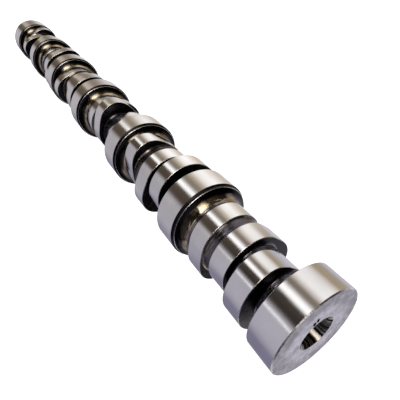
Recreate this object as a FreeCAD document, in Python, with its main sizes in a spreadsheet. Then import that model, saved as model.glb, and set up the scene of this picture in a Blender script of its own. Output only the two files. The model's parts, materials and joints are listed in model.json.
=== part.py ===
import FreeCAD, Part
import math
import os

import Sketcher

# Camshaft of a six-cylinder diesel engine, forged in one piece, then turned and ground.
# It stands on its front end, where the timing gear bolts on. The origin is the middle of
# that end, and +Z runs up the axis to the rear journal. Each cylinder has two valve lobes
# and one lobe for its unit pump between two bearing journals.

FIRING_ORDER = (1, 5, 3, 6, 2, 4)
CYLINDERS = len(FIRING_ORDER)
FULL_TURN = 360.0

# Driving sizes in millimetres and degrees. Heights inside a bay start at the upper ground
# edge of the journal below it. Angles are those of cylinder one, counted from +X to +Y.
SIZES = (
    ("journal_diameter", 70.0, "ground diameter of all the journals"),
    ("journal_width", 23.0, "ground width of an inner journal"),
    ("rear_journal_width", 22.7, "width of the rear journal"),
    ("front_journal_width", 42.0, "width of the front journal"),
    ("journal_chamfer", 1.0, "broken upper edge of a journal, and of the front end"),
    ("cylinder_pitch", 119.0, "distance from one journal edge to the next"),
    ("rear_face_height", 115.9, "rear face above the last inner journal"),
    ("shoulder_diameter", 67.4, "unground rim beside an inner journal"),
    ("shoulder_width", 3.1, "width of that rim"),
    ("front_core_diameter", 49.6, "core at the slim end of the collar and between the valve lobes"),
    ("middle_core_diameter", 40.8, "core between valve lobe and pump lobe"),
    ("rear_core_diameter", 39.4, "core between pump lobe and the next journal"),
    ("lobe_width", 17.0, "width of every lobe"),
    ("second_valve_height", 13.7, "lower face of the second valve lobe"),
    ("first_valve_height", 39.9, "lower face of the first valve lobe"),
    ("pump_height", 65.8, "lower face of the pump lobe"),
    ("valve_base_radius", 26.6, "base circle of the valve lobes"),
    ("first_valve_lift", 8.1, "lift of the first valve lobe"),
    ("second_valve_lift", 7.5, "lift of the second valve lobe"),
    ("valve_flank_angle", 65.0, "angle from base circle to nose"),
    ("first_nose_angle", 39.0, "direction of the first valve nose"),
    ("second_nose_angle", 294.0, "direction of the second valve nose"),
    ("pump_base_radius", 20.75, "base circle of the pump lobe"),
    ("pump_lift", 12.3, "stroke of the pump lobe"),
    ("pump_start_angle", 105.0, "direction where the pump stroke starts"),
    ("pump_stroke_angle", 90.0, "angle of the quick stroke"),
    ("pump_dwell_angle", 30.0, "angle held at full lift"),
    ("pump_return_angle", 215.0, "angle of the slow return"),
    ("bore_diameter", 23.6, "centre bore in the rear face"),
    ("bore_depth", 60.0, "depth of that bore's wall"),
    ("bore_chamfer", 1.8, "chamfer at the bore's mouth"),
    ("centre_diameter", 18.0, "gear pilot bore in the front face"),
    ("centre_depth", 24.0, "depth of the pilot bore's wall"),
    ("drill_point_angle", 118.0, "included angle at the bottom of the bores"),
    ("bolt_circle", 48.0, "circle of the gear's bolt holes"),
    ("bolt_count", 4, "number of those holes"),
    ("bolt_hole_diameter", 8.5, "tapping size of the bolt holes"),
    ("bolt_hole_depth", 24.0, "depth of the bolt holes"),
    ("dowel_diameter", 8.0, "dowel hole that times the gear"),
    ("dowel_depth", 14.0, "depth of the dowel hole"),
    ("dowel_angle", 45.0, "direction of the dowel hole"),
)

# Share of a flank's sweep spent gaining speed and losing it: alike on the quick stroke, a
# short start and a long easing-in on the slow return. A flank is drawn in pairs of arcs,
# and the splits are the shares of its sweep where one pair ends and the next begins.
QUICK_SHARES = (0.5, 0.5)
SLOW_SHARES = (0.12, 0.5)
VALVE_SPLITS = ()
STROKE_SPLITS = (0.5,)
RETURN_SPLITS = (0.3,)

# Chains of sizes that several features share
AXIS_TO_JOURNAL = "Sizes.journal_diameter / 2"
AXIS_TO_SHOULDER = "Sizes.shoulder_diameter / 2"
TOP = f"Sizes.front_journal_width + {CYLINDERS - 1} * Sizes.cylinder_pitch + Sizes.rear_face_height"
BAY = "Sizes.front_journal_width"


def make_sheet(doc):
    """The sheet of driving sizes: a name, its number and what it means on each row."""
    sheet = doc.addObject("Spreadsheet::Sheet", "Sizes")
    for row, (alias, number, meaning) in enumerate(SIZES, start=1):
        sheet.set(f"A{row}", alias)
        sheet.set(f"B{row}", str(number))
        sheet.set(f"C{row}", meaning)
        sheet.setAlias(f"B{row}", alias)
    doc.recompute()
    return sheet


def origin_plane(body, role):
    """The body's own origin plane or axis with this role."""
    return next(item for item in body.Origin.OriginFeatures if item.Role == role)


def new_sketch(body, name, role):
    """An empty sketch on one of the body's own origin planes."""
    sketch = body.newObject("Sketcher::SketchObject", name)
    sketch.AttachmentSupport = [(origin_plane(body, role), "")]
    sketch.MapMode = "FlatFace"
    return sketch


def turned_profile(body, sheet, name, corners):
    """A closed half section on the XZ plane, each corner bound to its radius and height."""
    sketch = new_sketch(body, name, "XZ_Plane")
    places = [[float(sheet.evalExpression(part)) for part in corner] for corner in corners]
    for start, end in zip(places, places[1:] + places[:1]):
        sketch.addGeometry(Part.LineSegment(FreeCAD.Vector(*start, 0), FreeCAD.Vector(*end, 0)))
    for line in range(len(corners)):
        following = (line + 1) % len(corners)
        sketch.addConstraint(Sketcher.Constraint("Coincident", line, 2, following, 1))
    for line, (place, corner) in enumerate(zip(places, corners)):
        for kind, number, expression in zip(("DistanceX", "DistanceY"), place, corner):
            index = sketch.addConstraint(Sketcher.Constraint(kind, -1, 1, line, 1, number))
            sketch.setExpression(f"Constraints[{index}]", expression)
    return sketch


def turn(body, sheet, name, corners, kind="PartDesign::Revolution"):
    """A full turn of a half section about the shaft's axis, added or cut."""
    sketch = turned_profile(body, sheet, name + "Profile", corners)
    feature = body.newObject(kind, name)
    feature.Profile = sketch
    feature.ReferenceAxis = (sketch, ["V_Axis"])
    feature.Angle = FULL_TURN
    return feature


def make_front_journal(body, sheet):
    """The wide journal at the gear end."""
    return turn(body, sheet, "FrontJournal", (
        ("0", "0"),
        (f"{AXIS_TO_JOURNAL} - Sizes.journal_chamfer", "0"),
        (AXIS_TO_JOURNAL, "Sizes.journal_chamfer"),
        (AXIS_TO_JOURNAL, BAY),
        ("0", BAY),
    ))


def make_bays(doc, body, sheet):
    """An inner journal, its shoulder, the tapered collar and the core, once per cylinder."""
    journal_foot = f"{BAY} - Sizes.journal_width"
    shoulder_top = f"{BAY} + Sizes.shoulder_width"
    collar_top = f"{BAY} + Sizes.second_valve_height"
    middle_core_foot = f"{BAY} + Sizes.first_valve_height + Sizes.lobe_width / 2"
    rear_core_foot = f"{BAY} + Sizes.pump_height + Sizes.lobe_width / 2"
    core_top = f"{BAY} + Sizes.cylinder_pitch - Sizes.journal_width / 2"
    bay = turn(body, sheet, "Bay", (
        ("0", journal_foot),
        (AXIS_TO_JOURNAL, journal_foot),
        (AXIS_TO_JOURNAL, BAY),
        (AXIS_TO_SHOULDER, f"{BAY} + Sizes.journal_chamfer"),
        (AXIS_TO_SHOULDER, shoulder_top),
        ("Sizes.front_core_diameter / 2", collar_top),
        ("Sizes.front_core_diameter / 2", middle_core_foot),
        ("Sizes.middle_core_diameter / 2", middle_core_foot),
        ("Sizes.middle_core_diameter / 2", rear_core_foot),
        ("Sizes.rear_core_diameter / 2", rear_core_foot),
        ("Sizes.rear_core_diameter / 2", core_top),
        ("0", core_top),
    ))
    pattern = body.newObject("PartDesign::LinearPattern", "Bays")
    pattern.Originals = [bay]
    pattern.Direction = (origin_plane(body, "Z_Axis"), [""])
    pattern.Occurrences = CYLINDERS
    pattern.setExpression("Length", f"{CYLINDERS - 1} * Sizes.cylinder_pitch")
    body.Tip = pattern
    doc.recompute()
    return pattern


def make_rear_journal(body, sheet):
    """The journal at the top, flush with the rear face."""
    return turn(body, sheet, "RearJournal", (
        ("0", f"{TOP} - Sizes.rear_journal_width"),
        (AXIS_TO_JOURNAL, f"{TOP} - Sizes.rear_journal_width"),
        (AXIS_TO_JOURNAL, f"{TOP} - Sizes.journal_chamfer"),
        (f"{AXIS_TO_JOURNAL} - Sizes.journal_chamfer", TOP),
        ("0", TOP),
    ))


def travel(share, shares):
    """Share of the lift reached after this share of a flank, and how fast it is gained."""
    push, brake = shares
    top_speed = 1 / (1 - push / 2 - brake / 2)
    if share < push:
        return top_speed * share**2 / (2 * push), top_speed * share / push
    if share > 1 - brake:
        left = 1 - share
        return 1 - top_speed * left**2 / (2 * brake), top_speed * left / brake
    return top_speed * (share - push / 2), top_speed


def polar(radius, degrees):
    """The point at this radius and direction on a lobe's sketch."""
    angle = math.radians(degrees)
    return FreeCAD.Vector(radius * math.cos(angle), radius * math.sin(angle), 0)


def tangent_arc(start, heading, end):
    """The arc that leaves start along heading and reaches end."""
    chord = end - start
    side = FreeCAD.Vector(-chord.y, chord.x, 0).normalize()
    turn_angle = math.atan2(heading.dot(side), heading.dot(chord) / chord.Length)
    middle = (start + end) / 2 + side * (chord.Length / 2 * math.tan(turn_angle / 2))
    return Part.Arc(start, middle, end)


def arc_pair(start, heading, end, arrival):
    """Two arcs that meet smoothly, from start along heading to end along arrival."""
    chord = end - start
    bend = 1 - heading.dot(arrival)
    pull = chord.dot(heading + arrival)
    reach = (math.sqrt(pull**2 + 2 * bend * chord.dot(chord)) - pull) / (2 * bend)
    joint = (start + heading * reach + end - arrival * reach) / 2
    return [tangent_arc(start, heading, joint), tangent_arc(end, -arrival, joint)]


def flank(base, lift, start, sweep, shares, splits):
    """Arcs from base circle to full lift. A sweep below zero runs clockwise."""
    ways = []
    for share in (0, *splits, 1):
        reached, speed = travel(share, shares)
        radius = base + lift * reached
        angle = start + sweep * share
        slope = lift * speed / math.radians(abs(sweep))
        across = polar(radius, angle + math.copysign(90, sweep))
        ways.append((polar(radius, angle), (across + polar(slope, angle)).normalize()))
    arcs = []
    for (start_point, heading), (end_point, arrival) in zip(ways, ways[1:]):
        arcs += arc_pair(start_point, heading, end_point, arrival)
    return arcs


def arc(radius, start, sweep):
    """An arc about the shaft's axis."""
    circle = Part.Circle(FreeCAD.Vector(0, 0, 0), FreeCAD.Vector(0, 0, 1), radius)
    return Part.ArcOfCircle(circle, math.radians(start), math.radians(start + sweep))


def valve_outline(sheet, lift_name):
    """A valve lobe with its nose at zero: two quick flanks and the base circle."""
    base = sheet.get("valve_base_radius")
    lift = sheet.get(lift_name)
    sweep = sheet.get("valve_flank_angle")
    return [
        *flank(base, lift, -sweep, sweep, QUICK_SHARES, VALVE_SPLITS),
        *flank(base, lift, sweep, -sweep, QUICK_SHARES, VALVE_SPLITS),
        arc(base, sweep, FULL_TURN - 2 * sweep),
    ]


def pump_outline(sheet):
    """The pump lobe with its stroke starting at zero: stroke, dwell, slow return and base."""
    base = sheet.get("pump_base_radius")
    lift = sheet.get("pump_lift")
    stroke = sheet.get("pump_stroke_angle")
    dwell = sheet.get("pump_dwell_angle")
    slow = sheet.get("pump_return_angle")
    rest = stroke + dwell + slow
    return [
        *flank(base, lift, 0, stroke, QUICK_SHARES, STROKE_SPLITS),
        arc(base + lift, stroke, dwell),
        *flank(base, lift, rest, -slow, SLOW_SHARES, RETURN_SPLITS),
        arc(base, rest, FULL_TURN - rest),
    ]


def make_lobe(body, name, outline, cylinder, height, direction):
    """One lobe of one cylinder, turned to its place in the firing order."""
    turn_angle = FULL_TURN * FIRING_ORDER.index(cylinder) / CYLINDERS
    sketch = new_sketch(body, name + "Profile", "XY_Plane")
    sketch.AttachmentOffset = FreeCAD.Placement(
        FreeCAD.Vector(0, 0, 0), FreeCAD.Rotation(FreeCAD.Vector(0, 0, 1), turn_angle)
    )
    sketch.setExpression(
        "AttachmentOffset.Base.z",
        f"{BAY} + {cylinder - 1} * Sizes.cylinder_pitch + Sizes.{height}",
    )
    sketch.setExpression("AttachmentOffset.Rotation.Angle", f"Sizes.{direction} + {turn_angle}")
    sketch.addGeometry(outline)
    pad = body.newObject("PartDesign::Pad", name)
    pad.Profile = sketch
    pad.setExpression("Length", "Sizes.lobe_width")
    return pad


def make_lobes(doc, body, sheet):
    """Two valve lobes and a pump lobe for each cylinder."""
    kinds = (
        ("SecondValve", valve_outline(sheet, "second_valve_lift"), "second_valve_height",
         "second_nose_angle"),
        ("FirstValve", valve_outline(sheet, "first_valve_lift"), "first_valve_height",
         "first_nose_angle"),
        ("Pump", pump_outline(sheet), "pump_height", "pump_start_angle"),
    )
    for cylinder in range(1, CYLINDERS + 1):
        for name, outline, height, direction in kinds:
            make_lobe(body, f"{name}Lobe{cylinder}", outline, cylinder, height, direction)
        doc.recompute()


def cut_rear_bore(body, sheet):
    """The blind centre bore in the rear face, with its chamfer and drill point."""
    floor = f"{TOP} - Sizes.bore_depth"
    point = "Sizes.bore_diameter / 2 / tan(Sizes.drill_point_angle * 1 deg / 2)"
    return turn(body, sheet, "RearBore", (
        ("0", TOP),
        ("Sizes.bore_diameter / 2 + Sizes.bore_chamfer", TOP),
        ("Sizes.bore_diameter / 2", f"{TOP} - Sizes.bore_chamfer"),
        ("Sizes.bore_diameter / 2", floor),
        ("0", f"{floor} - {point}"),
    ), "PartDesign::Groove")


def cut_front_bore(body, sheet):
    """The pilot bore that centres the gear on the front face."""
    point = "Sizes.centre_diameter / 2 / tan(Sizes.drill_point_angle * 1 deg / 2)"
    return turn(body, sheet, "FrontBore", (
        ("0", "0"),
        ("0", f"Sizes.centre_depth + {point}"),
        ("Sizes.centre_diameter / 2", "Sizes.centre_depth"),
        ("Sizes.centre_diameter / 2", "Sizes.bore_chamfer"),
        ("Sizes.centre_diameter / 2 + Sizes.bore_chamfer", "0"),
    ), "PartDesign::Groove")


def drill_front_hole(doc, body, name, diameter, depth, direction):
    """A blind hole in the front face on the bolt circle, at this direction."""
    sketch = new_sketch(body, name + "Place", "XY_Plane")
    radius = doc.Sizes.get("bolt_circle") / 2
    centre = polar(radius, float(doc.Sizes.evalExpression(direction)))
    normal = FreeCAD.Vector(0, 0, 1)
    sketch.addGeometry(Part.Circle(centre, normal, doc.Sizes.get(diameter) / 2))
    along_x = sketch.addConstraint(Sketcher.Constraint("DistanceX", -1, 1, 0, 3, centre.x))
    along_y = sketch.addConstraint(Sketcher.Constraint("DistanceY", -1, 1, 0, 3, centre.y))
    across = sketch.addConstraint(Sketcher.Constraint("Diameter", 0, doc.Sizes.get(diameter)))
    sketch.setExpression(
        f"Constraints[{along_x}]", f"Sizes.bolt_circle / 2 * cos(({direction}) * 1 deg)"
    )
    sketch.setExpression(
        f"Constraints[{along_y}]", f"Sizes.bolt_circle / 2 * sin(({direction}) * 1 deg)"
    )
    sketch.setExpression(f"Constraints[{across}]", f"Sizes.{diameter}")
    doc.recompute()
    pocket = body.newObject("PartDesign::Pocket", name)
    pocket.Profile = sketch
    pocket.Reversed = True
    pocket.setExpression("Length", f"Sizes.{depth}")
    doc.recompute()
    return pocket


def drill_front_face(doc, body):
    """The gear's bolt holes and the dowel hole between two of them."""
    bolt_hole = drill_front_hole(
        doc, body, "BoltHole", "bolt_hole_diameter", "bolt_hole_depth", "0"
    )
    pattern = body.newObject("PartDesign::PolarPattern", "BoltHoles")
    pattern.Originals = [bolt_hole]
    pattern.Axis = (origin_plane(body, "Z_Axis"), [""])
    pattern.Angle = FULL_TURN
    pattern.setExpression("Occurrences", "Sizes.bolt_count")
    body.Tip = pattern
    doc.recompute()
    drill_front_hole(doc, body, "DowelHole", "dowel_diameter", "dowel_depth",
                     "Sizes.dowel_angle")


def make_camshaft(doc, sheet):
    """The whole shaft: turned blank, ground lobes, then the holes in both ends."""
    body = doc.addObject("PartDesign::Body", "Camshaft")
    body.Label = "camshaft"
    make_front_journal(body, sheet)
    make_bays(doc, body, sheet)
    make_rear_journal(body, sheet)
    make_lobes(doc, body, sheet)
    solid_volume = body.Shape.Volume
    cut_rear_bore(body, sheet)
    cut_front_bore(body, sheet)
    doc.recompute()
    drill_front_face(doc, body)
    body.Placement = FreeCAD.Placement()
    doc.recompute()
    if body.Shape.Volume >= solid_volume:
        raise RuntimeError("the bores and holes cut nothing")
    return body


def check(doc, bodies):
    """Stop if a feature failed or a body isn't one valid solid."""
    for item in doc.Objects:
        if "Invalid" in item.State or "Error" in item.State:
            raise RuntimeError(f"{item.Name} failed: {item.State}")
    for body in bodies:
        shape = body.Shape
        if shape.isNull() or not shape.isValid() or len(shape.Solids) != 1:
            raise RuntimeError(f"{body.Label} isn't one valid solid")


def main():
    doc = FreeCAD.newDocument("Camshaft")
    sheet = make_sheet(doc)
    bodies = [make_camshaft(doc, sheet)]
    check(doc, bodies)
    os.makedirs("parts", exist_ok=True)
    for body in bodies:
        body.Shape.exportStep(f"parts/{body.Label}.step")
        box = body.Shape.BoundBox
        print(f"{body.Label}: {box.XLength:.1f} x {box.YLength:.1f} x {box.ZLength:.1f} mm, "
              f"{body.Shape.Volume / 1000:.0f} cm3")


main()
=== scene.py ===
import json
import math
from collections import namedtuple

import bmesh
import bpy
import numpy as np
from bpy.props import FloatProperty, FloatVectorProperty, IntProperty, PointerProperty
from mathutils import Matrix, Vector


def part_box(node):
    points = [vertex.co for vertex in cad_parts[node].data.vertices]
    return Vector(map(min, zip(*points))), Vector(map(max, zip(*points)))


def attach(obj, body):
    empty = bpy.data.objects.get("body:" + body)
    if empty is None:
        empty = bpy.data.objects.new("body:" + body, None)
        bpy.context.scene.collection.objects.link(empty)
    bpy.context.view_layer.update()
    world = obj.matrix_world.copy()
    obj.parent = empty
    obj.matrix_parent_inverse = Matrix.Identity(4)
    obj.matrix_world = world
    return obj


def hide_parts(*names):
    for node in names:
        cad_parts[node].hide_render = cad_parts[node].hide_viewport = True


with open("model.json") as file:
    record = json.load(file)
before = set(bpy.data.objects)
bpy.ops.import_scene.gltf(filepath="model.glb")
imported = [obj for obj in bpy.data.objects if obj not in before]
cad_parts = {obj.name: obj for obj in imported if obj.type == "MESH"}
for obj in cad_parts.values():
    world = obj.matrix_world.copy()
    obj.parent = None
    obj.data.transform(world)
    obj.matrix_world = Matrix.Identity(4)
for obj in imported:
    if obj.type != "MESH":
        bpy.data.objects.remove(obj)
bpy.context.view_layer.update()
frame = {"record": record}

bl_info = {
    "name": "Ground Camshaft",
    "version": (1, 0, 0),
    "blender": (4, 5, 0),
    "location": "3D View > Sidebar > Camshaft",
    "description": "A forged and ground six-cylinder camshaft with its studio",
    "category": "Object",
}

# The frame gives the CAD box, and its mounts give the sizes that the fine mesh shares
CAD_LOW, CAD_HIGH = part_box("camshaft")
MOUNTS = {mount["name"]: mount for mount in frame["record"]["mounts"]}
MM = 0.001


def mount_size(name, key):
    """A size of one of the record's mounts, in metres."""
    return MOUNTS[name]["dims"][key] * MM


FULL_TURN = 360.0
FIRING_ORDER = (1, 5, 3, 6, 2, 4)
CYLINDERS = len(FIRING_ORDER)
# Shares of a pump lobe's flank that push the plunger off and brake it again
QUICK_SHARES = (0.5, 0.5)
SLOW_SHARES = (0.12, 0.5)
SHAFT_LENGTH = CAD_HIGH[2] - CAD_LOW[2]
JOURNAL_RADIUS = mount_size("journal_2", "r_mm")
PITCH = MOUNTS["journal_3"]["pos_m"][2] - MOUNTS["journal_2"]["pos_m"][2]

# Half the angle of a drill's point and the edge angle that stays crisp, in degrees
DRILL_HALF_ANGLE = 59
CRISP_ANGLE = 50
# The points of bores and drilled holes end in a tiny cap: its share of the hole's radius
BORE_TIP = 0.001
DRILL_TIP = 0.01
# Where a fillet has too little room, it takes this share of it
FILLET_SHARE = 0.9
BOLT_HOLE_DEPTH = 24 * MM
# The setter's two punch marks: distance from the axis, direction in degrees, half length
# and half width
PUNCH_MARKS = (
    (16.2 * MM, -9.8, 2.2 * MM, 1.25 * MM),
    (17.3 * MM, -19.0, 2.2 * MM, 1.1 * MM),
)
# The floor's half width in metres, and the sensor's width in millimetres
FLOOR_REACH = 30.0
SENSOR_WIDTH = 36.0
# The photograph's middle lies beside the lens axis
CAMERA_SHIFT = (-0.0135, -0.0176)

# Finishes in the order of the mesh's material slots
# The oiled finish carries a painted reflection band and painted shade on the collars, and the
# bore finish carries painted shade and a painted highlight
GROUND, DARK, OILED_AND_PAINTED_LIGHT, FACE, BREAK, BORE_AND_PAINTED_LIGHT, DOT = range(7)

# A ring of the skin: its height, one radius or one per direction, and the finish of the
# strip that leads up to it
Ring = namedtuple("Ring", "height radii finish")

# What shaft_places measures
Places = namedtuple("Places", "place reach turned")


def size(name, description, default):
    """A length that a user can change, in metres."""
    return FloatProperty(
        name=name, description=description, default=default, unit="LENGTH", precision=5
    )


def angle(name, description, default):
    """An angle that a user can change, in degrees."""
    return FloatProperty(
        name=name, description=f"{description}, in degrees", default=default
    )


def colour(name, description, code):
    """A colour that a user can change, stored as the eye sees it."""
    return FloatVectorProperty(
        name=name, description=description, default=hex_parts(code), subtype="COLOR_GAMMA",
        size=3, min=0.0, max=1.0,
    )


def hex_parts(code):
    """The three sRGB parts of a hex colour, from 0 to 1."""
    return tuple(int(code[place:place + 2], 16) / 255 for place in (1, 3, 5))


def linear(parts):
    """sRGB parts as the linear colour that shaders take."""
    return tuple(
        part / 12.92 if part <= 0.04045 else ((part + 0.055) / 1.055) ** 2.4 for part in parts
    ) + (1.0,)


class CamshaftBlank(bpy.types.PropertyGroup):
    """Sizes of the turned blank."""

    front_width: size("Front journal", "Width of the front journal", 0.042)
    inner_width: size("Inner journal", "Width of an inner journal", 0.023)
    rear_width: size("Rear journal", "Width of the rear journal", 0.0227)
    chamfer: size("Journal chamfer", "Broken upper edge of a journal", 0.001)
    edge_break: size("Edge break", "Fine break on every ground edge", 0.0004)
    end_break: size("End break", "Break round the two end faces", 0.0008)
    shoulder_radius: size("Shoulder radius", "Unground rim beside a journal", 0.0337)
    shoulder_width: size("Shoulder width", "Width of that rim", 0.0031)
    front_core: size("Front core radius", "Core between the valve lobes", 0.0248)
    middle_core: size("Middle core radius", "Core between valve and pump lobe", 0.0204)
    rear_core: size("Rear core radius", "Core behind the pump lobe", 0.0197)
    fillet: size("Fillet", "Hollow corner between a flat face and the core", 0.0016)
    bore_chamfer: size("Bore chamfer", "Chamfer at a bore's mouth", 0.0018)
    segments: IntProperty(name="Segments", description="Steps round the shaft", default=240)


class CamshaftLobes(bpy.types.PropertyGroup):
    """Sizes and directions of cylinder one's lobes."""

    width: size("Lobe width", "Width of every lobe", 0.017)
    second_height: size("Second valve height", "Lower face above the bay's edge", 0.0137)
    first_height: size("First valve height", "Lower face above the bay's edge", 0.0399)
    pump_height: size("Pump height", "Lower face above the bay's edge", 0.0658)
    valve_base: size("Valve base", "Base circle of the valve lobes", 0.0266)
    first_lift: size("First valve lift", "Lift of the first valve lobe", 0.0081)
    second_lift: size("Second valve lift", "Lift of the second valve lobe", 0.0075)
    valve_flank: angle("Valve flank", "Angle from base circle to nose", 65.0)
    first_nose: angle("First nose", "Direction of the first valve nose", 39.0)
    second_nose: angle("Second nose", "Direction of the second valve nose", 294.0)
    pump_base: size("Pump base", "Base circle of the pump lobe", 0.02075)
    pump_lift: size("Pump lift", "Stroke of the pump lobe", 0.0123)
    pump_start: angle("Pump start", "Direction where the stroke starts", 105.0)
    pump_stroke: angle("Pump stroke", "Angle of the quick stroke", 90.0)
    pump_dwell: angle("Pump dwell", "Angle held at full lift", 30.0)
    pump_return: angle("Pump return", "Angle of the slow return", 215.0)


class CamshaftFinish(bpy.types.PropertyGroup):
    """Colours of the surfaces."""

    ground: colour("Ground steel", "Hardened steel, cylindrically ground", "#f2f0ef")
    dark: colour("Blackened steel", "Turned forging, blackened", "#3c3a40")
    # The collars' golden band: the oil's own tint, laid on as a painted reflection band
    oiled_sheen: colour("Oiled forging", "Collars and cores under oil", "#c0b096")
    face: colour("Faced steel", "End face, faced and lapped", "#e4e2ea")
    # The bore's bright streaks; the material paints the rest of the wall near black as shade of
    # the bore's depth
    bore: colour("Reamed bore", "Reamed wall under oil", "#ded8d0")


class CamshaftStudio(bpy.types.PropertyGroup):
    """The photograph's camera."""

    camera_out: size("Camera distance", "Camera's distance from the axis", 0.22403)
    camera_side: size("Camera side", "Camera's place along Y", -0.00051)
    camera_above: size("Camera height", "Camera above the rear face", 0.0554)
    yaw: angle("Yaw", "Direction of view about Z, from +X", 183.572)
    pitch: angle("Pitch", "Direction of view below the horizon", 41.029)
    roll: angle("Roll", "Turn of the camera about its view", 133.773)
    focal_length: FloatProperty(
        name="Focal length", description="For a sensor 36 mm wide", default=31.242,
        subtype="DISTANCE_CAMERA",
    )


def circle(radius, count):
    """The same radius in every direction."""
    return np.full(count, radius)


def travel(share, push, brake):
    """Share of the lift reached after each share of a flank: push, coast, brake."""
    top_speed = 1 / (1 - push / 2 - brake / 2)
    pushed = top_speed * share**2 / (2 * push)
    coasted = top_speed * (share - push / 2)
    braked = 1 - top_speed * (1 - share) ** 2 / (2 * brake)
    return np.where(share < push, pushed, np.where(share > 1 - brake, braked, coasted))


def valve_radii(directions, base, lift, flank, nose):
    """A valve lobe's radius in each direction."""
    away = np.abs((directions - nose + FULL_TURN / 2) % FULL_TURN - FULL_TURN / 2)
    return base + lift * np.cos(np.radians(90 * np.minimum(away / flank, 1))) ** 2


def pump_radii(directions, lobes, start):
    """The pump lobe's radius in each direction: stroke, dwell, slow return, base circle."""
    place = (directions - start) % FULL_TURN
    stroke, dwell, slow = lobes.pump_stroke, lobes.pump_dwell, lobes.pump_return
    rising = travel(np.clip(place / stroke, 0, 1), *QUICK_SHARES)
    left = np.clip((stroke + dwell + slow - place) / slow, 0, 1)
    falling = travel(left, *SLOW_SHARES)
    return lobes.pump_base + lobes.pump_lift * np.minimum(rising, falling)


def edge_rings(height, outline, cut, upward):
    """A stoned edge: from the flat face out to the ground side, or back from it."""
    corner = (math.sqrt(2) - 1) / math.sqrt(2) * cut
    inner = height
    middle = height + (corner if upward else -corner)
    outer = height + (cut if upward else -cut)
    rings = [
        Ring(inner, outline - cut, BREAK),
        Ring(middle, outline - corner, BREAK),
        Ring(outer, outline, BREAK),
    ]
    return rings if upward else rings[::-1]


def faced(ring, finish):
    """The same ring at the end of a strip of another finish."""
    return ring._replace(finish=finish)


def fillet_rings(foot, core, blank, room):
    """The hollow corner between a lobe's or journal's flat face and the core above it. Where
    a base circle leaves less room than the fillet's radius, it hugs the core more closely."""
    reach = np.minimum(blank.fillet, room)
    return [
        Ring(foot + blank.fillet * (1 - math.cos(turn)), core + reach * (1 - math.sin(turn)),
             OILED_AND_PAINTED_LIGHT if turn else DARK)
        for turn in (0.0, math.pi / 6, math.pi / 3, math.pi / 2)
    ]


def lobe_rings(blank, outline, width, floor, core_below, core_above):
    """A lobe with broken edges between the cores below and above it."""
    count = len(outline)
    edge_break = blank.edge_break
    lower, upper = (
        edge_rings(floor, outline, edge_break, True),
        edge_rings(floor + width, outline, edge_break, False),
    )
    return [
        Ring(floor, circle(core_below, count), OILED_AND_PAINTED_LIGHT),
        faced(lower[0], DARK),
        *lower[1:],
        faced(upper[0], GROUND),
        *upper[1:],
        *fillet_rings(floor + width, core_above, blank,
                      (outline - edge_break - core_above) * FILLET_SHARE),
    ]


def collar_rings(foot_height, foot_radius, top_height, top_radius, count, steps=9):
    """The collar's hollow flare: an arc that runs smoothly into the core above it."""
    rise = top_height - foot_height
    reach = foot_radius - top_radius
    sweep_radius = (rise**2 + reach**2) / (2 * reach)
    sweep = math.asin(rise / sweep_radius)
    rings = []
    for step in range(1, steps + 1):
        turn = sweep * (1 - step / steps)
        radius = top_radius + sweep_radius * (1 - math.cos(turn))
        height = top_height - sweep_radius * math.sin(turn)
        # The last strip, where the flare runs into the core beside the lobe, takes the
        # blackened finish: painted shade and a painted reflection of the dark lobe face
        finish = OILED_AND_PAINTED_LIGHT if step < steps else DARK
        rings.append(Ring(height, circle(radius, count), finish))
    return rings


def shoulder_rings(blank, bay, count):
    """The journal's upper chamfer and the unground rim above it."""
    rim = blank.shoulder_radius
    top = bay + blank.shoulder_width
    return [
        Ring(bay + blank.chamfer, circle(rim, count), DARK),
        Ring(top - blank.edge_break, circle(rim, count), DARK),
        Ring(top, circle(rim - blank.edge_break, count), BREAK),
    ]


def bay_rings(blank, lobes, cylinder, directions):
    """Everything from a journal's upper ground edge to the core behind the pump lobe."""
    count = len(directions)
    bay = blank.front_width + (cylinder - 1) * PITCH
    turn = FULL_TURN * FIRING_ORDER.index(cylinder) / CYLINDERS
    second = valve_radii(directions, lobes.valve_base, lobes.second_lift, lobes.valve_flank,
                         lobes.second_nose + turn)
    first = valve_radii(directions, lobes.valve_base, lobes.first_lift, lobes.valve_flank,
                        lobes.first_nose + turn)
    pump = pump_radii(directions, lobes, lobes.pump_start + turn)
    foot = bay + blank.shoulder_width
    second_floor = bay + lobes.second_height
    cut = blank.edge_break
    return [
        *shoulder_rings(blank, bay, count),
        *collar_rings(foot, blank.shoulder_radius - cut, second_floor, blank.front_core,
                      count),
        *lobe_rings(blank, second, lobes.width, second_floor, blank.front_core,
                    blank.front_core),
        *lobe_rings(blank, first, lobes.width, bay + lobes.first_height, blank.front_core,
                    blank.middle_core),
        *lobe_rings(blank, pump, lobes.width, bay + lobes.pump_height, blank.middle_core,
                    blank.rear_core),
    ]


def journal_rings(blank, low, high, count, last=False):
    """A ground journal above the core, up to its upper ground edge."""
    side = circle(JOURNAL_RADIUS, count)
    lower = edge_rings(low, side, blank.edge_break, True)
    rings = [
        Ring(low, circle(blank.rear_core, count), OILED_AND_PAINTED_LIGHT),
        faced(lower[0], DARK),
        *lower[1:],
    ]
    if not last:
        return rings + [Ring(high, side, GROUND)]
    cut = blank.end_break
    return rings + [Ring(high - cut, side, GROUND), Ring(high, side - cut, BREAK)]


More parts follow.
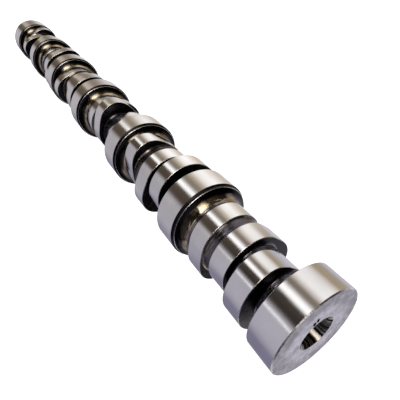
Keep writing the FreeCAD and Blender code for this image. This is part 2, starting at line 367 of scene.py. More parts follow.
def skin_rings(blank, lobes, directions):
    """The whole outside, from the front face's edge up to the rear face's edge."""
    count = len(directions)
    side = circle(JOURNAL_RADIUS, count)
    rings = [
        *edge_rings(0.0, side, blank.end_break, True),
        Ring(blank.front_width, side, GROUND),
    ]
    for cylinder in range(1, CYLINDERS + 1):
        rings += bay_rings(blank, lobes, cylinder, directions)
        top = blank.front_width + cylinder * PITCH
        if cylinder < CYLINDERS:
            rings += journal_rings(blank, top - blank.inner_width, top, count)
    low = SHAFT_LENGTH - blank.rear_width
    return rings + journal_rings(blank, low, SHAFT_LENGTH, count, last=True)


def bore_rings(mouth, depth, radius, chamfer, count, inward):
    """A blind bore's chamfer and wall. Inward is 1 upwards from the front, -1 from the rear."""
    point = radius / math.tan(math.radians(DRILL_HALF_ANGLE))
    return [
        Ring(mouth, circle(radius + chamfer, count), BREAK),
        Ring(mouth + inward * chamfer, circle(radius, count), BORE_AND_PAINTED_LIGHT),
        Ring(mouth + inward * depth, circle(radius, count), BORE_AND_PAINTED_LIGHT),
        Ring(mouth + inward * (depth + point * (1 - BORE_TIP)),
             circle(radius * BORE_TIP, count), BORE_AND_PAINTED_LIGHT),
    ]


def add_ring(bm, ring, directions, centre=(0.0, 0.0)):
    """The ring's vertices."""
    along = np.radians(directions)
    return [
        bm.verts.new((centre[0] + radius * math.cos(a), centre[1] + radius * math.sin(a),
                      ring.height))
        for radius, a in zip(ring.radii, along)
    ]


def add_strips(bm, rings, directions, centre=(0.0, 0.0), outward=True):
    """Joins each ring to the next with a strip of faces. Returns the first and last rings."""
    loops = [add_ring(bm, ring, directions, centre) for ring in rings]
    count = len(directions)
    for ring, below, above in zip(rings[1:], loops, loops[1:]):
        for here in range(count):
            after = (here + 1) % count
            corners = [below[here], below[after], above[after], above[here]]
            face = bm.faces.new(corners if outward else corners[::-1])
            face.material_index = ring.finish
            face.smooth = True
    return loops[0], loops[-1]


def close_loop(bm, loop, finish):
    """A cap over the last, tiny ring at the bottom of a hole."""
    face = bm.faces.new(loop)
    face.material_index = finish


def fill_face(bm, loops, finish):
    """A flat face between an outer loop and the loops of the holes in it."""
    edges = []
    for loop in loops:
        for here, vertex in enumerate(loop):
            after = loop[(here + 1) % len(loop)]
            edge = bm.edges.get((vertex, after)) or bm.edges.new((vertex, after))
            edges.append(edge)
    filled = bmesh.ops.triangle_fill(bm, use_beauty=True, use_dissolve=False, edges=edges)
    for item in filled["geom"]:
        if isinstance(item, bmesh.types.BMFace):
            item.material_index = finish
            item.smooth = False


def drill(bm, centre, radius, depth, mouth, inward, finish=BORE_AND_PAINTED_LIGHT, count=40):
    """A blind hole beside the axis. Returns the loop at its mouth."""
    directions = np.arange(count) * FULL_TURN / count
    point = radius / math.tan(math.radians(DRILL_HALF_ANGLE))
    rings = [
        Ring(mouth, circle(radius, count), finish),
        Ring(mouth + inward * depth, circle(radius, count), finish),
        Ring(mouth + inward * (depth + point * (1 - DRILL_TIP)),
             circle(radius * DRILL_TIP, count), finish),
    ]
    first, last = add_strips(bm, rings, directions, centre, outward=inward < 0)
    close_loop(bm, last, finish)
    return first


def punch(bm, reach, direction, half_length, half_width, depth=0.8 * MM, count=24):
    """A setter's mark punched into the rear face, long towards the axis. Returns the loop at
    its mouth."""
    directions = np.arange(count) * FULL_TURN / count
    across = np.radians(directions - direction)
    outline = half_length * half_width / np.hypot(half_width * np.cos(across),
                                                  half_length * np.sin(across))
    turn = math.radians(direction)
    centre = (reach * math.cos(turn), reach * math.sin(turn))
    rings = [
        Ring(SHAFT_LENGTH, outline, DOT),
        Ring(SHAFT_LENGTH - depth / 2, outline * 0.85, DOT),
        Ring(SHAFT_LENGTH - depth, outline * 0.2, DOT),
    ]
    first, last = add_strips(bm, rings, directions, centre)
    close_loop(bm, last, DOT)
    return first


def front_face(bm, blank, outer, directions):
    """The gear's seat: pilot bore, bolt holes and dowel hole in the front face."""
    pilot = mount_size("gear_pilot", "r_mm")
    pilot_depth = mount_size("gear_pilot", "length_mm") + blank.bore_chamfer
    rings = bore_rings(0.0, pilot_depth, pilot, blank.bore_chamfer, len(directions), 1)
    mouth, floor = add_strips(bm, rings, directions, outward=False)
    close_loop(bm, floor, FACE)
    bolts = MOUNTS["gear_bolts"]["dims"]
    circle_radius = bolts["pcd_mm"] * MM / 2
    holes = []
    for number in range(bolts["count"]):
        turn = math.tau * number / bolts["count"]
        centre = (circle_radius * math.cos(turn), circle_radius * math.sin(turn))
        holes.append(drill(bm, centre, bolts["hole_r_mm"] * MM, BOLT_HOLE_DEPTH, 0.0, 1))
    dowel = MOUNTS["gear_dowel"]
    holes.append(drill(bm, dowel["pos_m"][:2], mount_size("gear_dowel", "r_mm"),
                       mount_size("gear_dowel", "length_mm"), 0.0, 1))
    fill_face(bm, [outer, mouth, *holes], FACE)


def rear_face(bm, blank, outer, directions):
    """The rear face with its centre bore and the setter's two punch marks."""
    bore = mount_size("rear_bore", "r_mm")
    depth = mount_size("rear_bore", "length_mm") + blank.bore_chamfer
    rings = bore_rings(SHAFT_LENGTH, depth, bore, blank.bore_chamfer, len(directions), -1)
    mouth, floor = add_strips(bm, rings, directions)
    close_loop(bm, floor, FACE)
    marks = [punch(bm, *mark) for mark in PUNCH_MARKS]
    fill_face(bm, [outer, mouth, *marks], FACE)


def mark_sharp_edges(mesh):
    """Splits the shading where two finishes meet and at crisp corners."""
    mesh.set_sharp_from_angle(angle=math.radians(CRISP_ANGLE))
    finishes = {}
    for face in mesh.polygons:
        for key in face.edge_keys:
            finishes.setdefault(key, set()).add(face.material_index)
    for edge in mesh.edges:
        if len(finishes[edge.key]) > 1:
            edge.use_edge_sharp = True


# Sockets of a Mix node that mixes colours, which share their names with its other sockets
SHARE, FROM, TO, MIXED = 0, 6, 7, 2


def add_node(tree, kind, settings=None, links=None, stops=()):
    """A node with its settings, its inputs fed by numbers or by other nodes' outputs, and the
    places and colours of a colour ramp's stops."""
    node = tree.nodes.new(kind)
    for name, setting in (settings or {}).items():
        setattr(node, name, setting)
    for name, feed in (links or {}).items():
        if isinstance(feed, bpy.types.NodeSocket):
            tree.links.new(feed, node.inputs[name])
        else:
            node.inputs[name].default_value = feed
    for number, (place, shade) in enumerate(stops):
        elements = node.color_ramp.elements
        if number == 0:
            elements.remove(elements[-1])
        stop = elements.new(place) if number else elements[0]
        stop.position = place
        stop.color = shade
    return node


def new_material(name):
    """An empty material and its node tree."""
    material = bpy.data.materials.new(name)
    material.use_nodes = True
    material.node_tree.nodes.clear()
    return material, material.node_tree


def shaft_places(tree):
    """Three measures of a place on the shaft: the place itself, its distance from the axis,
    and its direction from the axis with its travel along and out as third part, which is
    how a turning tool meets it."""
    place = add_node(tree, "ShaderNodeTexCoord").outputs["Object"]
    parts = add_node(tree, "ShaderNodeSeparateXYZ", links={"Vector": place})
    flat = add_node(tree, "ShaderNodeCombineXYZ", links={
        "X": parts.outputs["X"], "Y": parts.outputs["Y"]
    })
    reach = add_node(tree, "ShaderNodeVectorMath", {"operation": "LENGTH"},
                     {"Vector": flat.outputs["Vector"]}).outputs["Value"]
    way = add_node(tree, "ShaderNodeVectorMath", {"operation": "NORMALIZE"},
                   {"Vector": flat.outputs["Vector"]})
    ways = add_node(tree, "ShaderNodeSeparateXYZ", links={"Vector": way.outputs["Vector"]})
    fed = add_node(tree, "ShaderNodeMath", {"operation": "ADD"},
                   {0: reach, 1: parts.outputs["Z"]})
    turned = add_node(tree, "ShaderNodeCombineXYZ", links={
        "X": ways.outputs["X"], "Y": ways.outputs["Y"], "Z": fed.outputs["Value"]
    })
    return Places(place, reach, turned.outputs["Vector"])


def shaded(parts, share):
    """A colour as the eye sees it, scaled and made linear."""
    return linear([min(part * share, 1.0) for part in parts])


def ground_steel(finish):
    """Case-hardened steel, cylindrically ground: a soft mirror that draws the room's panels
    as bands along the shaft."""
    material, tree = new_material("ground_steel")
    shaft = shaft_places(tree)
    # The wheel leaves lines round the shaft, about 0.1 mm apart, drawn 0.35 mm apart
    wheel = add_node(tree, "ShaderNodeMapping", links={
        "Vector": shaft.turned, "Scale": (4.0, 4.0, 1 / (0.35 * MM))
    })
    lines = add_node(tree, "ShaderNodeTexNoise", links={
        "Vector": wheel.outputs["Vector"], "Scale": 1.0, "Detail": 2.0
    })
    gloss = add_node(tree, "ShaderNodeMapRange", links={
        "Value": lines.outputs["Fac"], "From Min": 0.3, "From Max": 0.7, "To Min": 0.06,
        "To Max": 0.12
    })
    # Spark-out grain breaks the edges of the reflections into specks of about 0.6 mm
    specks = add_node(tree, "ShaderNodeTexNoise", links={
        "Vector": shaft.place, "Scale": 1 / (0.6 * MM), "Detail": 3.0, "Roughness": 0.6
    })
    # A film of oil dulls the steel here and there, over 20 mm or so
    film = add_node(tree, "ShaderNodeTexNoise", links={
        "Vector": shaft.place, "Scale": 1 / (20 * MM), "Detail": 3.0
    })
    clouds = add_node(tree, "ShaderNodeMapRange", links={
        "Value": film.outputs["Fac"], "From Min": 0.35, "From Max": 0.65
    })
    metal = add_node(tree, "ShaderNodeMix", {"data_type": "RGBA"}, {
        SHARE: clouds.outputs["Result"], FROM: shaded(finish.ground, 0.965),
        TO: linear(finish.ground)
    })
    height = add_node(tree, "ShaderNodeMath", {"operation": "ADD"},
                      {0: lines.outputs["Fac"], 1: specks.outputs["Fac"]})
    bump = add_node(tree, "ShaderNodeBump", links={
        "Height": height.outputs["Value"], "Strength": 0.5, "Distance": 0.05 * MM
    })
    shader = add_node(tree, "ShaderNodeBsdfPrincipled", links={
        "Base Color": metal.outputs[MIXED], "Metallic": 1.0,
        "Roughness": gloss.outputs["Result"], "Normal": bump.outputs["Normal"]
    })
    add_node(tree, "ShaderNodeOutputMaterial", links={"Surface": shader.outputs["BSDF"]})
    return material


def blackened_steel(finish):
    """Turned forging, blackened in the quench: charcoal, black wherever it mirrors itself,
    with the turning tool's rings just showing."""
    material, tree = new_material("blackened_steel")
    shaft = shaft_places(tree)
    # The blacking is uneven in patches of about 4 mm
    patches = add_node(tree, "ShaderNodeTexNoise", links={
        "Vector": shaft.place, "Scale": 1 / (4 * MM), "Detail": 4.0, "Roughness": 0.6
    })
    # The tool's feed of 0.25 mm is drawn as 0.9 mm: rings on the faces, hoops on the rims
    tool = add_node(tree, "ShaderNodeMapping", links={
        "Vector": shaft.turned, "Scale": (5.0, 5.0, 1 / (0.9 * MM))
    })
    feed = add_node(tree, "ShaderNodeTexNoise", links={
        "Vector": tool.outputs["Vector"], "Scale": 1.0, "Detail": 2.0
    })
    mottle = add_node(tree, "ShaderNodeMath", {"operation": "MULTIPLY_ADD"},
                      {0: feed.outputs["Fac"], 1: 0.8, 2: patches.outputs["Fac"]})
    share = add_node(tree, "ShaderNodeMapRange", links={
        "Value": mottle.outputs["Value"], "From Min": 0.65, "From Max": 1.15
    })
    metal = add_node(tree, "ShaderNodeMix", {"data_type": "RGBA"}, {
        SHARE: share.outputs["Result"], FROM: shaded(finish.dark, 0.55),
        TO: linear(finish.dark)
    })
    gloss = add_node(tree, "ShaderNodeMapRange", links={
        "Value": patches.outputs["Fac"], "From Min": 0.3, "From Max": 0.7, "To Min": 0.22,
        "To Max": 0.4
    })
    bump = add_node(tree, "ShaderNodeBump", links={
        "Height": mottle.outputs["Value"], "Strength": 0.5, "Distance": 0.15 * MM
    })
    shader = add_node(tree, "ShaderNodeBsdfPrincipled", links={
        "Base Color": metal.outputs[MIXED], "Metallic": 1.0,
        "Roughness": gloss.outputs["Result"], "Normal": bump.outputs["Normal"]
    })
    add_node(tree, "ShaderNodeOutputMaterial", links={"Surface": shader.outputs["BSDF"]})
    return material


def oiled_forging_and_painted_light(finish):
    """Unground steel of collars and cores, smooth under preserving oil: charcoal, with pale
    golden lights where it curves. On the collars a golden band is painted reflection and the
    black outer flare is painted shade."""
    material, tree = new_material("oiled_forging_and_painted_light")
    shaft = shaft_places(tree)
    # The oil has run round the shaft in streaks about 1.5 mm wide
    run = add_node(tree, "ShaderNodeMapping", links={
        "Vector": shaft.turned, "Scale": (2.5, 2.5, 1 / (1.5 * MM))
    })
    streaks = add_node(tree, "ShaderNodeTexNoise", links={
        "Vector": run.outputs["Vector"], "Scale": 1.0, "Detail": 3.0, "Distortion": 0.4
    })
    # From the cores out to the rims: charcoal, then a golden band, then black. The golden band
    # is painted reflection of the pale panels below, in the oil's tint, and the black outer
    # flare is painted shade where the steep flare mirrors the dark lobe face. The streaks shift
    # these edges by up to 2 mm either way
    strayed = add_node(tree, "ShaderNodeMath", {"operation": "MULTIPLY_ADD"},
                       {0: streaks.outputs["Fac"], 1: 4 * MM, 2: shaft.reach})
    along = add_node(tree, "ShaderNodeMapRange", links={
        "Value": strayed.outputs["Value"], "From Min": 22 * MM, "From Max": 38 * MM
    })
    painted_band_reach = along.outputs["Result"]
    # Charcoal cores, a painted golden reflection band, and painted black shade on the outer
    # flare
    metal = add_node(tree, "ShaderNodeValToRGB", links={"Fac": painted_band_reach}, stops=[
        (0.3, shaded(finish.dark, 1.5)),
        (0.4, linear(finish.oiled_sheen)),
        (0.46, shaded(finish.oiled_sheen, 0.85)),
        (0.6, shaded(finish.dark, 0.5)),
    ])
    gloss = add_node(tree, "ShaderNodeMapRange", links={
        "Value": streaks.outputs["Fac"], "From Min": 0.3, "From Max": 0.7, "To Min": 0.24,
        "To Max": 0.12
    })
    bump = add_node(tree, "ShaderNodeBump", links={
        "Height": streaks.outputs["Fac"], "Strength": 1.0, "Distance": 0.7 * MM
    })
    shader = add_node(tree, "ShaderNodeBsdfPrincipled", links={
        "Base Color": metal.outputs["Color"], "Metallic": 1.0,
        "Roughness": gloss.outputs["Result"], "Normal": bump.outputs["Normal"]
    })
    add_node(tree, "ShaderNodeOutputMaterial", links={"Surface": shader.outputs["BSDF"]})
    return material


def faced_steel(finish):
    """End face, turned and lapped: soft grey with a darker outer ring and faint stains."""
    material, tree = new_material("faced_steel")
    shaft = shaft_places(tree)
    # Handling has stained it in spots of about 5 mm
    spots = add_node(tree, "ShaderNodeTexNoise", links={
        "Vector": shaft.place, "Scale": 1 / (5 * MM), "Detail": 6.0, "Roughness": 0.7
    })
    # The lap cuts less towards the rim: a ring about 10 mm wide stays darker
    ring = add_node(tree, "ShaderNodeMapRange", {"interpolation_type": "SMOOTHSTEP"}, {
        "Value": shaft.reach, "From Min": 21 * MM, "From Max": 28 * MM
    })
    wear = add_node(tree, "ShaderNodeMath", {"operation": "MULTIPLY_ADD"},
                    {0: ring.outputs["Result"], 1: -0.28, 2: spots.outputs["Fac"]})
    share = add_node(tree, "ShaderNodeMapRange", links={
        "Value": wear.outputs["Value"], "From Min": 0.16, "From Max": 0.62
    })
    metal = add_node(tree, "ShaderNodeMix", {"data_type": "RGBA"}, {
        SHARE: share.outputs["Result"], FROM: shaded(finish.face, 0.7),
        TO: linear(finish.face)
    })
    # Facing leaves rings 0.15 mm apart, drawn 0.7 mm apart
    tool = add_node(tree, "ShaderNodeMapping", links={
        "Vector": shaft.turned, "Scale": (3.0, 3.0, 1 / (0.7 * MM))
    })
    rings = add_node(tree, "ShaderNodeTexNoise", links={
        "Vector": tool.outputs["Vector"], "Scale": 1.0, "Detail": 2.0
    })
    gloss = add_node(tree, "ShaderNodeMapRange", links={
        "Value": spots.outputs["Fac"], "From Min": 0.3, "From Max": 0.7, "To Min": 0.42,
        "To Max": 0.3
    })
    bump = add_node(tree, "ShaderNodeBump", links={
        "Height": rings.outputs["Fac"], "Strength": 0.3, "Distance": 0.05 * MM
    })
    shader = add_node(tree, "ShaderNodeBsdfPrincipled", links={
        "Base Color": metal.outputs[MIXED], "Metallic": 1.0,
        "Roughness": gloss.outputs["Result"], "Normal": bump.outputs["Normal"]
    })
    add_node(tree, "ShaderNodeOutputMaterial", links={"Surface": shader.outputs["BSDF"]})
    return material


def broken_edge(finish):
    """The fine chamfer that a stone leaves by hand on a ground edge: bright, with dark
    nicks."""
    material, tree = new_material("broken_edge")
    shaft = shaft_places(tree)
    # The stone skips: nicks about 1 mm long
    nicks = add_node(tree, "ShaderNodeTexNoise", links={
        "Vector": shaft.place, "Scale": 1 / (1.0 * MM), "Detail": 3.0, "Roughness": 0.6
    })
    share = add_node(tree, "ShaderNodeMapRange", links={
        "Value": nicks.outputs["Fac"], "From Min": 0.42, "From Max": 0.55
    })
    metal = add_node(tree, "ShaderNodeMix", {"data_type": "RGBA"}, {
        SHARE: share.outputs["Result"], FROM: shaded(finish.ground, 0.7),
        TO: linear(finish.ground)
    })
    shader = add_node(tree, "ShaderNodeBsdfPrincipled", links={
        "Base Color": metal.outputs[MIXED], "Metallic": 1.0, "Roughness": 0.35
    })
    add_node(tree, "ShaderNodeOutputMaterial", links={"Surface": shader.outputs["BSDF"]})
    return material


def reamed_bore_and_painted_light(finish):
    """Reamed bore: the reamer's hoops draw each light out along the bore. The wall is painted
    near black as shade of the bore's depth, with lengthwise bright streaks, one of them a
    painted highlight under the lamp."""
    material, tree = new_material("reamed_bore_and_painted_light")
    shaft = shaft_places(tree)
    # Lengthwise streaks about 2 mm wide, like the reamer's flute marks; the dark ones are
    # painted shade of the bore's depth. The location sets where round the bore the bright ones
    # lie, so that one lies under the lamp as a painted highlight
    flutes_turned_to_lamp = add_node(tree, "ShaderNodeMapping", links={
        "Vector": shaft.turned, "Location": (9.5, 0.0, 0.0),
        "Scale": (7.0, 7.0, 1 / (90 * MM))
    })
    streaks_and_painted_shade = add_node(tree, "ShaderNodeTexNoise", links={
        "Vector": flutes_turned_to_lamp.outputs["Vector"], "Scale": 1.0, "Detail": 2.0
    })
    share = add_node(tree, "ShaderNodeMapRange", links={
        "Value": streaks_and_painted_shade.outputs["Fac"], "From Min": 0.48, "From Max": 0.62
    })
    # Near black between the bright streaks: painted shade of the bore's depth
    metal = add_node(tree, "ShaderNodeMix", {"data_type": "RGBA"}, {
        SHARE: share.outputs["Result"], FROM: shaded(finish.bore, 0.1),
        TO: linear(finish.bore)
    })
    hoops = add_node(tree, "ShaderNodeTangent", {"direction_type": "RADIAL", "axis": "Z"})
    shader = add_node(tree, "ShaderNodeBsdfPrincipled", links={
        "Base Color": metal.outputs[MIXED], "Metallic": 1.0, "Roughness": 0.5,
        "Anisotropic": 0.95, "Anisotropic Rotation": 0.25, "Tangent": hoops.outputs["Tangent"]
    })
    add_node(tree, "ShaderNodeOutputMaterial", links={"Surface": shader.outputs["BSDF"]})
    return material


def punched_dot(finish):
    """A punch mark's hollow, coloured nearly black."""
    material, tree = new_material("punched_dot")
    shaft = shaft_places(tree)
    dot_mottle = add_node(tree, "ShaderNodeTexNoise", links={
        "Vector": shaft.place, "Scale": 1 / (0.3 * MM), "Detail": 2.0
    })
    metal = add_node(tree, "ShaderNodeMix", {"data_type": "RGBA"}, {
        SHARE: dot_mottle.outputs["Fac"], FROM: shaded(finish.dark, 0.05),
        TO: shaded(finish.dark, 0.2)
    })
    shader = add_node(tree, "ShaderNodeBsdfPrincipled", links={
        "Base Color": metal.outputs[MIXED], "Metallic": 1.0, "Roughness": 0.5
    })
    add_node(tree, "ShaderNodeOutputMaterial", links={"Surface": shader.outputs["BSDF"]})
    return material


class MakeCamshaft(bpy.types.Operator):
    """Builds the shaft's skin: turned blank, lobes and the holes in both ends."""

    bl_idname = "object.make_camshaft"
    bl_label = "Make Camshaft"

    def execute(self, context):
        blank = context.scene.camshaft_blank
        lobes = context.scene.camshaft_lobes
        finish = context.scene.camshaft_finish
        directions = np.arange(blank.segments) * FULL_TURN / blank.segments
        bm = bmesh.new()
        foot, head = add_strips(bm, skin_rings(blank, lobes, directions), directions)
        front_face(bm, blank, foot, directions)
        rear_face(bm, blank, head, directions)
        bmesh.ops.recalc_face_normals(bm, faces=bm.faces)
        mesh = bpy.data.meshes.new("camshaft_skin")
        bm.to_mesh(mesh)
        bm.free()
        mark_sharp_edges(mesh)
        for make in (ground_steel, blackened_steel, oiled_forging_and_painted_light, faced_steel, broken_edge,
                     reamed_bore_and_painted_light, punched_dot):
            mesh.materials.append(make(finish))
        skin = bpy.data.objects.new("camshaft_skin", mesh)
        context.scene.collection.objects.link(skin)
        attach(skin, "root")
        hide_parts("camshaft")
        return {"FINISHED"}


# What stands round the table, by direction from +X to +Y in degrees, as the ground sides
# mirror it. Each stop is a panel's edge, its colour and, for a lamp, its strength.
# The rear journal and the lobe beside it mirror what stands near the horizon.
NEAR_PANELS = (
    (-180, "#cac7cd"),
    (-150, "#c2bfc8"),
    (-134, "#b4b1b8"),
    (-124, "#a59a8a"),
    (-103, "#a4967f"),
    (-92, "#d6d0ca"),
    (-80, "#efeded"),
    (-58, "#fbf9f8"),
    (-49, "#d8d2cd"),
    (-40, "#7d736a"),
    (-31, "#7d7268"),
    (-26, "#c9c4c4"),
    (-21, "#ffffff", 1.15),
    (-12, "#ffffff", 1.15),
    (-7, "#463f3b"),
    (15, "#332d29"),
    (20, "#4d4848"),
    (27, "#a6a3a8"),
    (31, "#b0adb6"),
    (33, "#ffffff", 1.4),
    (36, "#afacb6"),
    (60, "#afacb9"),
    (84, "#aba8b5"),
    (96, "#9c99a7"),
    (108, "#807d92"),
    (145, "#7a778c"),
    (166, "#b0adbb"),
)
# The rest of the shaft mirrors what lies lower, where the brown panel ends
FAR_PANELS = (
    (-180, "#d6d3d8"),
    (-148, "#cfc9c6"),
    (-130, "#cabfb2"),
    (-108, "#f0e8df"),
    (-88, "#ffffff", 1.08),
    (-68, "#f9f4ef"),
    (-56, "#c3b8aa"),
    (-43, "#8b8070"),
    (-33, "#877d73"),
    (-26, "#d0cccb"),
    (-22, "#ffffff", 1.15),
    (-14, "#ffffff", 1.15),
    (-9, "#5a5047"),
    (12, "#4a4039"),
    (20, "#5a514b"),
    (28, "#a3a0a3"),
    (36, "#b0adb1"),
    (56, "#a9a6ac"),
    (100, "#aaa7b2"),
    (114, "#9c99a8"),
    (128, "#8d8a9a"),
    (152, "#898695"),
    (166, "#bcbac4"),
)
# The front half mirrors the table's foot, where the lamp and the white panels have faded
DEEP_PANELS = (
    (-180, "#b4b1b6"),
    (-152, "#cfccce"),
    (-120, "#d7d2d0"),
    (-103, "#c8c4c4"),
    (-86, "#aaa29c"),
    (-69, "#8a8179"),
    (-52, "#887c6e"),
    (-43, "#9a8f83"),
    (-35, "#b4a99c"),
    (-18, "#b8ae9f"),
    (-9, "#75695a"),
    (0, "#665b4c"),
    (20, "#594f45"),
    (28, "#938d89"),
    (36, "#b2aeae"),
    (52, "#b9b6bd"),
    (86, "#b5b2b7"),
    (104, "#b0adb2"),
    (120, "#9a979c"),
    (137, "#85828a"),
    (152, "#87848c"),
    (166, "#bcbac4"),
)
# Above the table: dark drapes with one narrow bright lamp, and a dim wall on the left
HIGH_PANELS = (
    (-180, "#1c1a1a"),
    (-100, "#2a2723"),
    (-60, "#4a4138"),
    (-34, "#1c1814"),
    (-24, "#f9eeda", 2.5),
    (-7, "#fffbf3", 5.0),
    (0, "#1c1814"),
    (30, "#1c1814"),
    (60, "#36343a"),
    (135, "#4e4c54"),
    (155, "#1c1a1a"),
)


def panel_look(code, strength=1.0):
    """The light that a panel of this colour sends."""
    return tuple(part * strength for part in linear(hex_parts(code)))


def make_room(context):
    """A white room by day. Reflections see its panels, its lamps, its dark drapes, its grey
    wall and its pale ceiling."""
    world = bpy.data.worlds.new("daylit_room")
    world.use_nodes = True
    tree = world.node_tree
    tree.nodes.clear()
    towards = add_node(tree, "ShaderNodeTexCoord").outputs["Generated"]
    parts = add_node(tree, "ShaderNodeSeparateXYZ", links={"Vector": towards})
    height = parts.outputs["Z"]
    turn = add_node(tree, "ShaderNodeMath", {"operation": "ARCTAN2"},
                    {0: parts.outputs["Y"], 1: parts.outputs["X"]})
    direction = add_node(tree, "ShaderNodeMath", {"operation": "MULTIPLY_ADD"},
                         {0: turn.outputs["Value"], 1: 1 / math.tau, 2: 0.5})
    near, far, deep, high = [
        add_node(tree, "ShaderNodeValToRGB", links={"Fac": direction.outputs["Value"]}, stops=[
            (degrees / FULL_TURN + 0.5, panel_look(*look)) for degrees, *look in panels
        ])
        for panels in (NEAR_PANELS, FAR_PANELS, DEEP_PANELS, HIGH_PANELS)
    ]
    # The near panels end between 26 and 38 degrees below the horizon
    lower = add_node(tree, "ShaderNodeMapRange", {"interpolation_type": "SMOOTHSTEP"}, {
        "Value": height, "From Min": -0.44, "From Max": -0.62
    })
    low = add_node(tree, "ShaderNodeMix", {"data_type": "RGBA"}, {
        SHARE: lower.outputs["Result"], FROM: near.outputs["Color"], TO: far.outputs["Color"]
    })
    # The far ones fade between 53 and 67 degrees below it
    foot = add_node(tree, "ShaderNodeMapRange", {"interpolation_type": "SMOOTHSTEP"}, {
        "Value": height, "From Min": -0.8, "From Max": -0.92
    })
    beneath = add_node(tree, "ShaderNodeMix", {"data_type": "RGBA"}, {
        SHARE: foot.outputs["Result"], FROM: low.outputs[MIXED], TO: deep.outputs["Color"]
    })
    # A pale ceiling starts 60 degrees up, and ends over the drapes on -Y
    ceiling_edge = add_node(tree, "ShaderNodeMapRange", {"interpolation_type": "SMOOTHSTEP"}, {
        "Value": height, "From Min": 0.86, "From Max": 0.95
    })
    ceiling_side = add_node(tree, "ShaderNodeMapRange", {"interpolation_type": "SMOOTHSTEP"}, {
        "Value": parts.outputs["Y"], "From Min": -0.18, "From Max": -0.06
    })
    ceiling = add_node(tree, "ShaderNodeMath", {"operation": "MULTIPLY"},
                       {0: ceiling_edge.outputs["Result"], 1: ceiling_side.outputs["Result"]})
    upper = add_node(tree, "ShaderNodeMix", {"data_type": "RGBA"}, {
        SHARE: ceiling.outputs["Value"], FROM: high.outputs["Color"],
        TO: linear(hex_parts("#cfccd6"))
    })
    # The grey wall that the rear face mirrors stands on -X and reaches 30 degrees up
    wall_side = add_node(tree, "ShaderNodeMapRange", {"interpolation_type": "SMOOTHSTEP"}, {
        "Value": parts.outputs["X"], "From Min": -0.2, "From Max": -0.5
    })
    wall_top = add_node(tree, "ShaderNodeMapRange", {"interpolation_type": "SMOOTHSTEP"}, {
        "Value": height, "From Min": 0.56, "From Max": 0.4
    })
    wall = add_node(tree, "ShaderNodeMath", {"operation": "MULTIPLY"},
                    {0: wall_side.outputs["Result"], 1: wall_top.outputs["Result"]})
    walled = add_node(tree, "ShaderNodeMix", {"data_type": "RGBA"}, {
        SHARE: wall.outputs["Value"], FROM: upper.outputs[MIXED],
        TO: linear(hex_parts("#e2dfe8"))
    })
    above = add_node(tree, "ShaderNodeMapRange", {"interpolation_type": "SMOOTHSTEP"}, {
        "Value": height, "From Min": -0.02, "From Max": 0.08
    })
    seen = add_node(tree, "ShaderNodeMix", {"data_type": "RGBA"}, {
        SHARE: above.outputs["Result"], FROM: beneath.outputs[MIXED], TO: walled.outputs[MIXED]
    })
    # The eye itself looks at a white backdrop
    path = add_node(tree, "ShaderNodeLightPath")
    shown = add_node(tree, "ShaderNodeMix", {"data_type": "RGBA"}, {
        SHARE: path.outputs["Is Camera Ray"], FROM: seen.outputs[MIXED],
        TO: (1.0, 1.0, 1.0, 1.0)
    })
    backdrop = add_node(tree, "ShaderNodeBackground", links={
        "Color": shown.outputs[MIXED], "Strength": 1.05
    })
    add_node(tree, "ShaderNodeOutputWorld", links={"Surface": backdrop.outputs["Background"]})
    context.scene.world = world


def make_floor(context):
    """A plain pale floor, wide enough to fill the view."""
    mesh = bpy.data.meshes.new("floor")
    corners = [(-1, -1), (1, -1), (1, 1), (-1, 1)]
    mesh.from_pydata([(x * FLOOR_REACH, y * FLOOR_REACH, 0) for x, y in corners], [],
                     [(0, 1, 2, 3)])
    material, tree = new_material("pale_floor")
    # White card, lit evenly from below so that it stays pale under the dark drapes
    shader = add_node(tree, "ShaderNodeBsdfPrincipled", links={
        "Base Color": (0.9, 0.9, 0.9, 1.0), "Roughness": 0.9,
        "Emission Color": (1.0, 1.0, 1.0, 1.0), "Emission Strength": 0.95
    })
    add_node(tree, "ShaderNodeOutputMaterial", links={"Surface": shader.outputs["BSDF"]})
    mesh.materials.append(material)
    floor = bpy.data.objects.new("floor", mesh)
    context.scene.collection.objects.link(floor)
    floor.visible_glossy = False


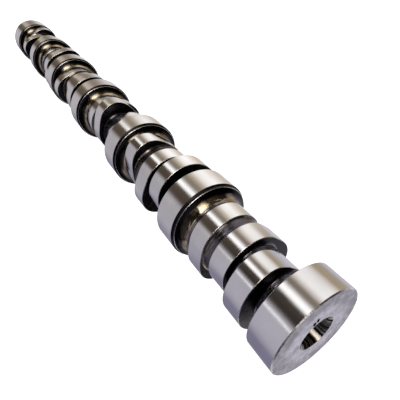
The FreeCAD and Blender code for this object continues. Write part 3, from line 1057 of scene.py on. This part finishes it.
def make_camera(context, studio):
    """The photograph's camera."""
    data = bpy.data.cameras.new("camera")
    camera = bpy.data.objects.new("camera", data)
    context.scene.collection.objects.link(camera)
    yaw, pitch = math.radians(studio.yaw), math.radians(studio.pitch)
    ahead = Vector((math.cos(yaw) * math.cos(pitch), math.sin(yaw) * math.cos(pitch),
                    -math.sin(pitch)))
    level = ahead.to_track_quat("-Z", "Y").to_matrix().to_4x4()
    rolled = level @ Matrix.Rotation(math.radians(studio.roll), 4, "Z")
    camera.matrix_world = Matrix.Translation(
        (studio.camera_out, studio.camera_side, SHAFT_LENGTH + studio.camera_above)
    ) @ rolled
    data.sensor_width = SENSOR_WIDTH
    data.lens = studio.focal_length
    data.shift_x, data.shift_y = CAMERA_SHIFT
    data.clip_start = 0.01
    context.scene.camera = camera


class SetStudio(bpy.types.Operator):
    """Sets the pale floor, the light and the photograph's camera."""

    bl_idname = "scene.set_camshaft_studio"
    bl_label = "Set Studio"

    def execute(self, context):
        studio = context.scene.camshaft_studio
        make_room(context)
        make_floor(context)
        make_camera(context, studio)
        context.scene.view_settings.view_transform = "Standard"
        return {"FINISHED"}


class CamshaftPanel(bpy.types.Panel):
    """Lists the camshaft's sizes and its two steps."""

    bl_idname = "VIEW3D_PT_camshaft"
    bl_label = "Camshaft"
    bl_space_type = "VIEW_3D"
    bl_region_type = "UI"
    bl_category = "Camshaft"

    def draw(self, context):
        for group in GROUPS:
            for name in GROUPS[group].__annotations__:
                self.layout.prop(getattr(context.scene, group), name)
        for operator in OPERATORS:
            self.layout.operator(operator.bl_idname)


GROUPS = {
    "camshaft_blank": CamshaftBlank,
    "camshaft_lobes": CamshaftLobes,
    "camshaft_finish": CamshaftFinish,
    "camshaft_studio": CamshaftStudio,
}
OPERATORS = (MakeCamshaft, SetStudio)


def register():
    for name, group in GROUPS.items():
        bpy.utils.register_class(group)
        setattr(bpy.types.Scene, name, PointerProperty(type=group))
    for item in (*OPERATORS, CamshaftPanel):
        bpy.utils.register_class(item)


def unregister():
    for item in (CamshaftPanel, *reversed(OPERATORS)):
        bpy.utils.unregister_class(item)
    for name, group in reversed(GROUPS.items()):
        delattr(bpy.types.Scene, name)
        bpy.utils.unregister_class(group)


def main():
    register()
    bpy.ops.object.make_camshaft()
    bpy.ops.scene.set_camshaft_studio()


if __name__ == "__main__":
    main()
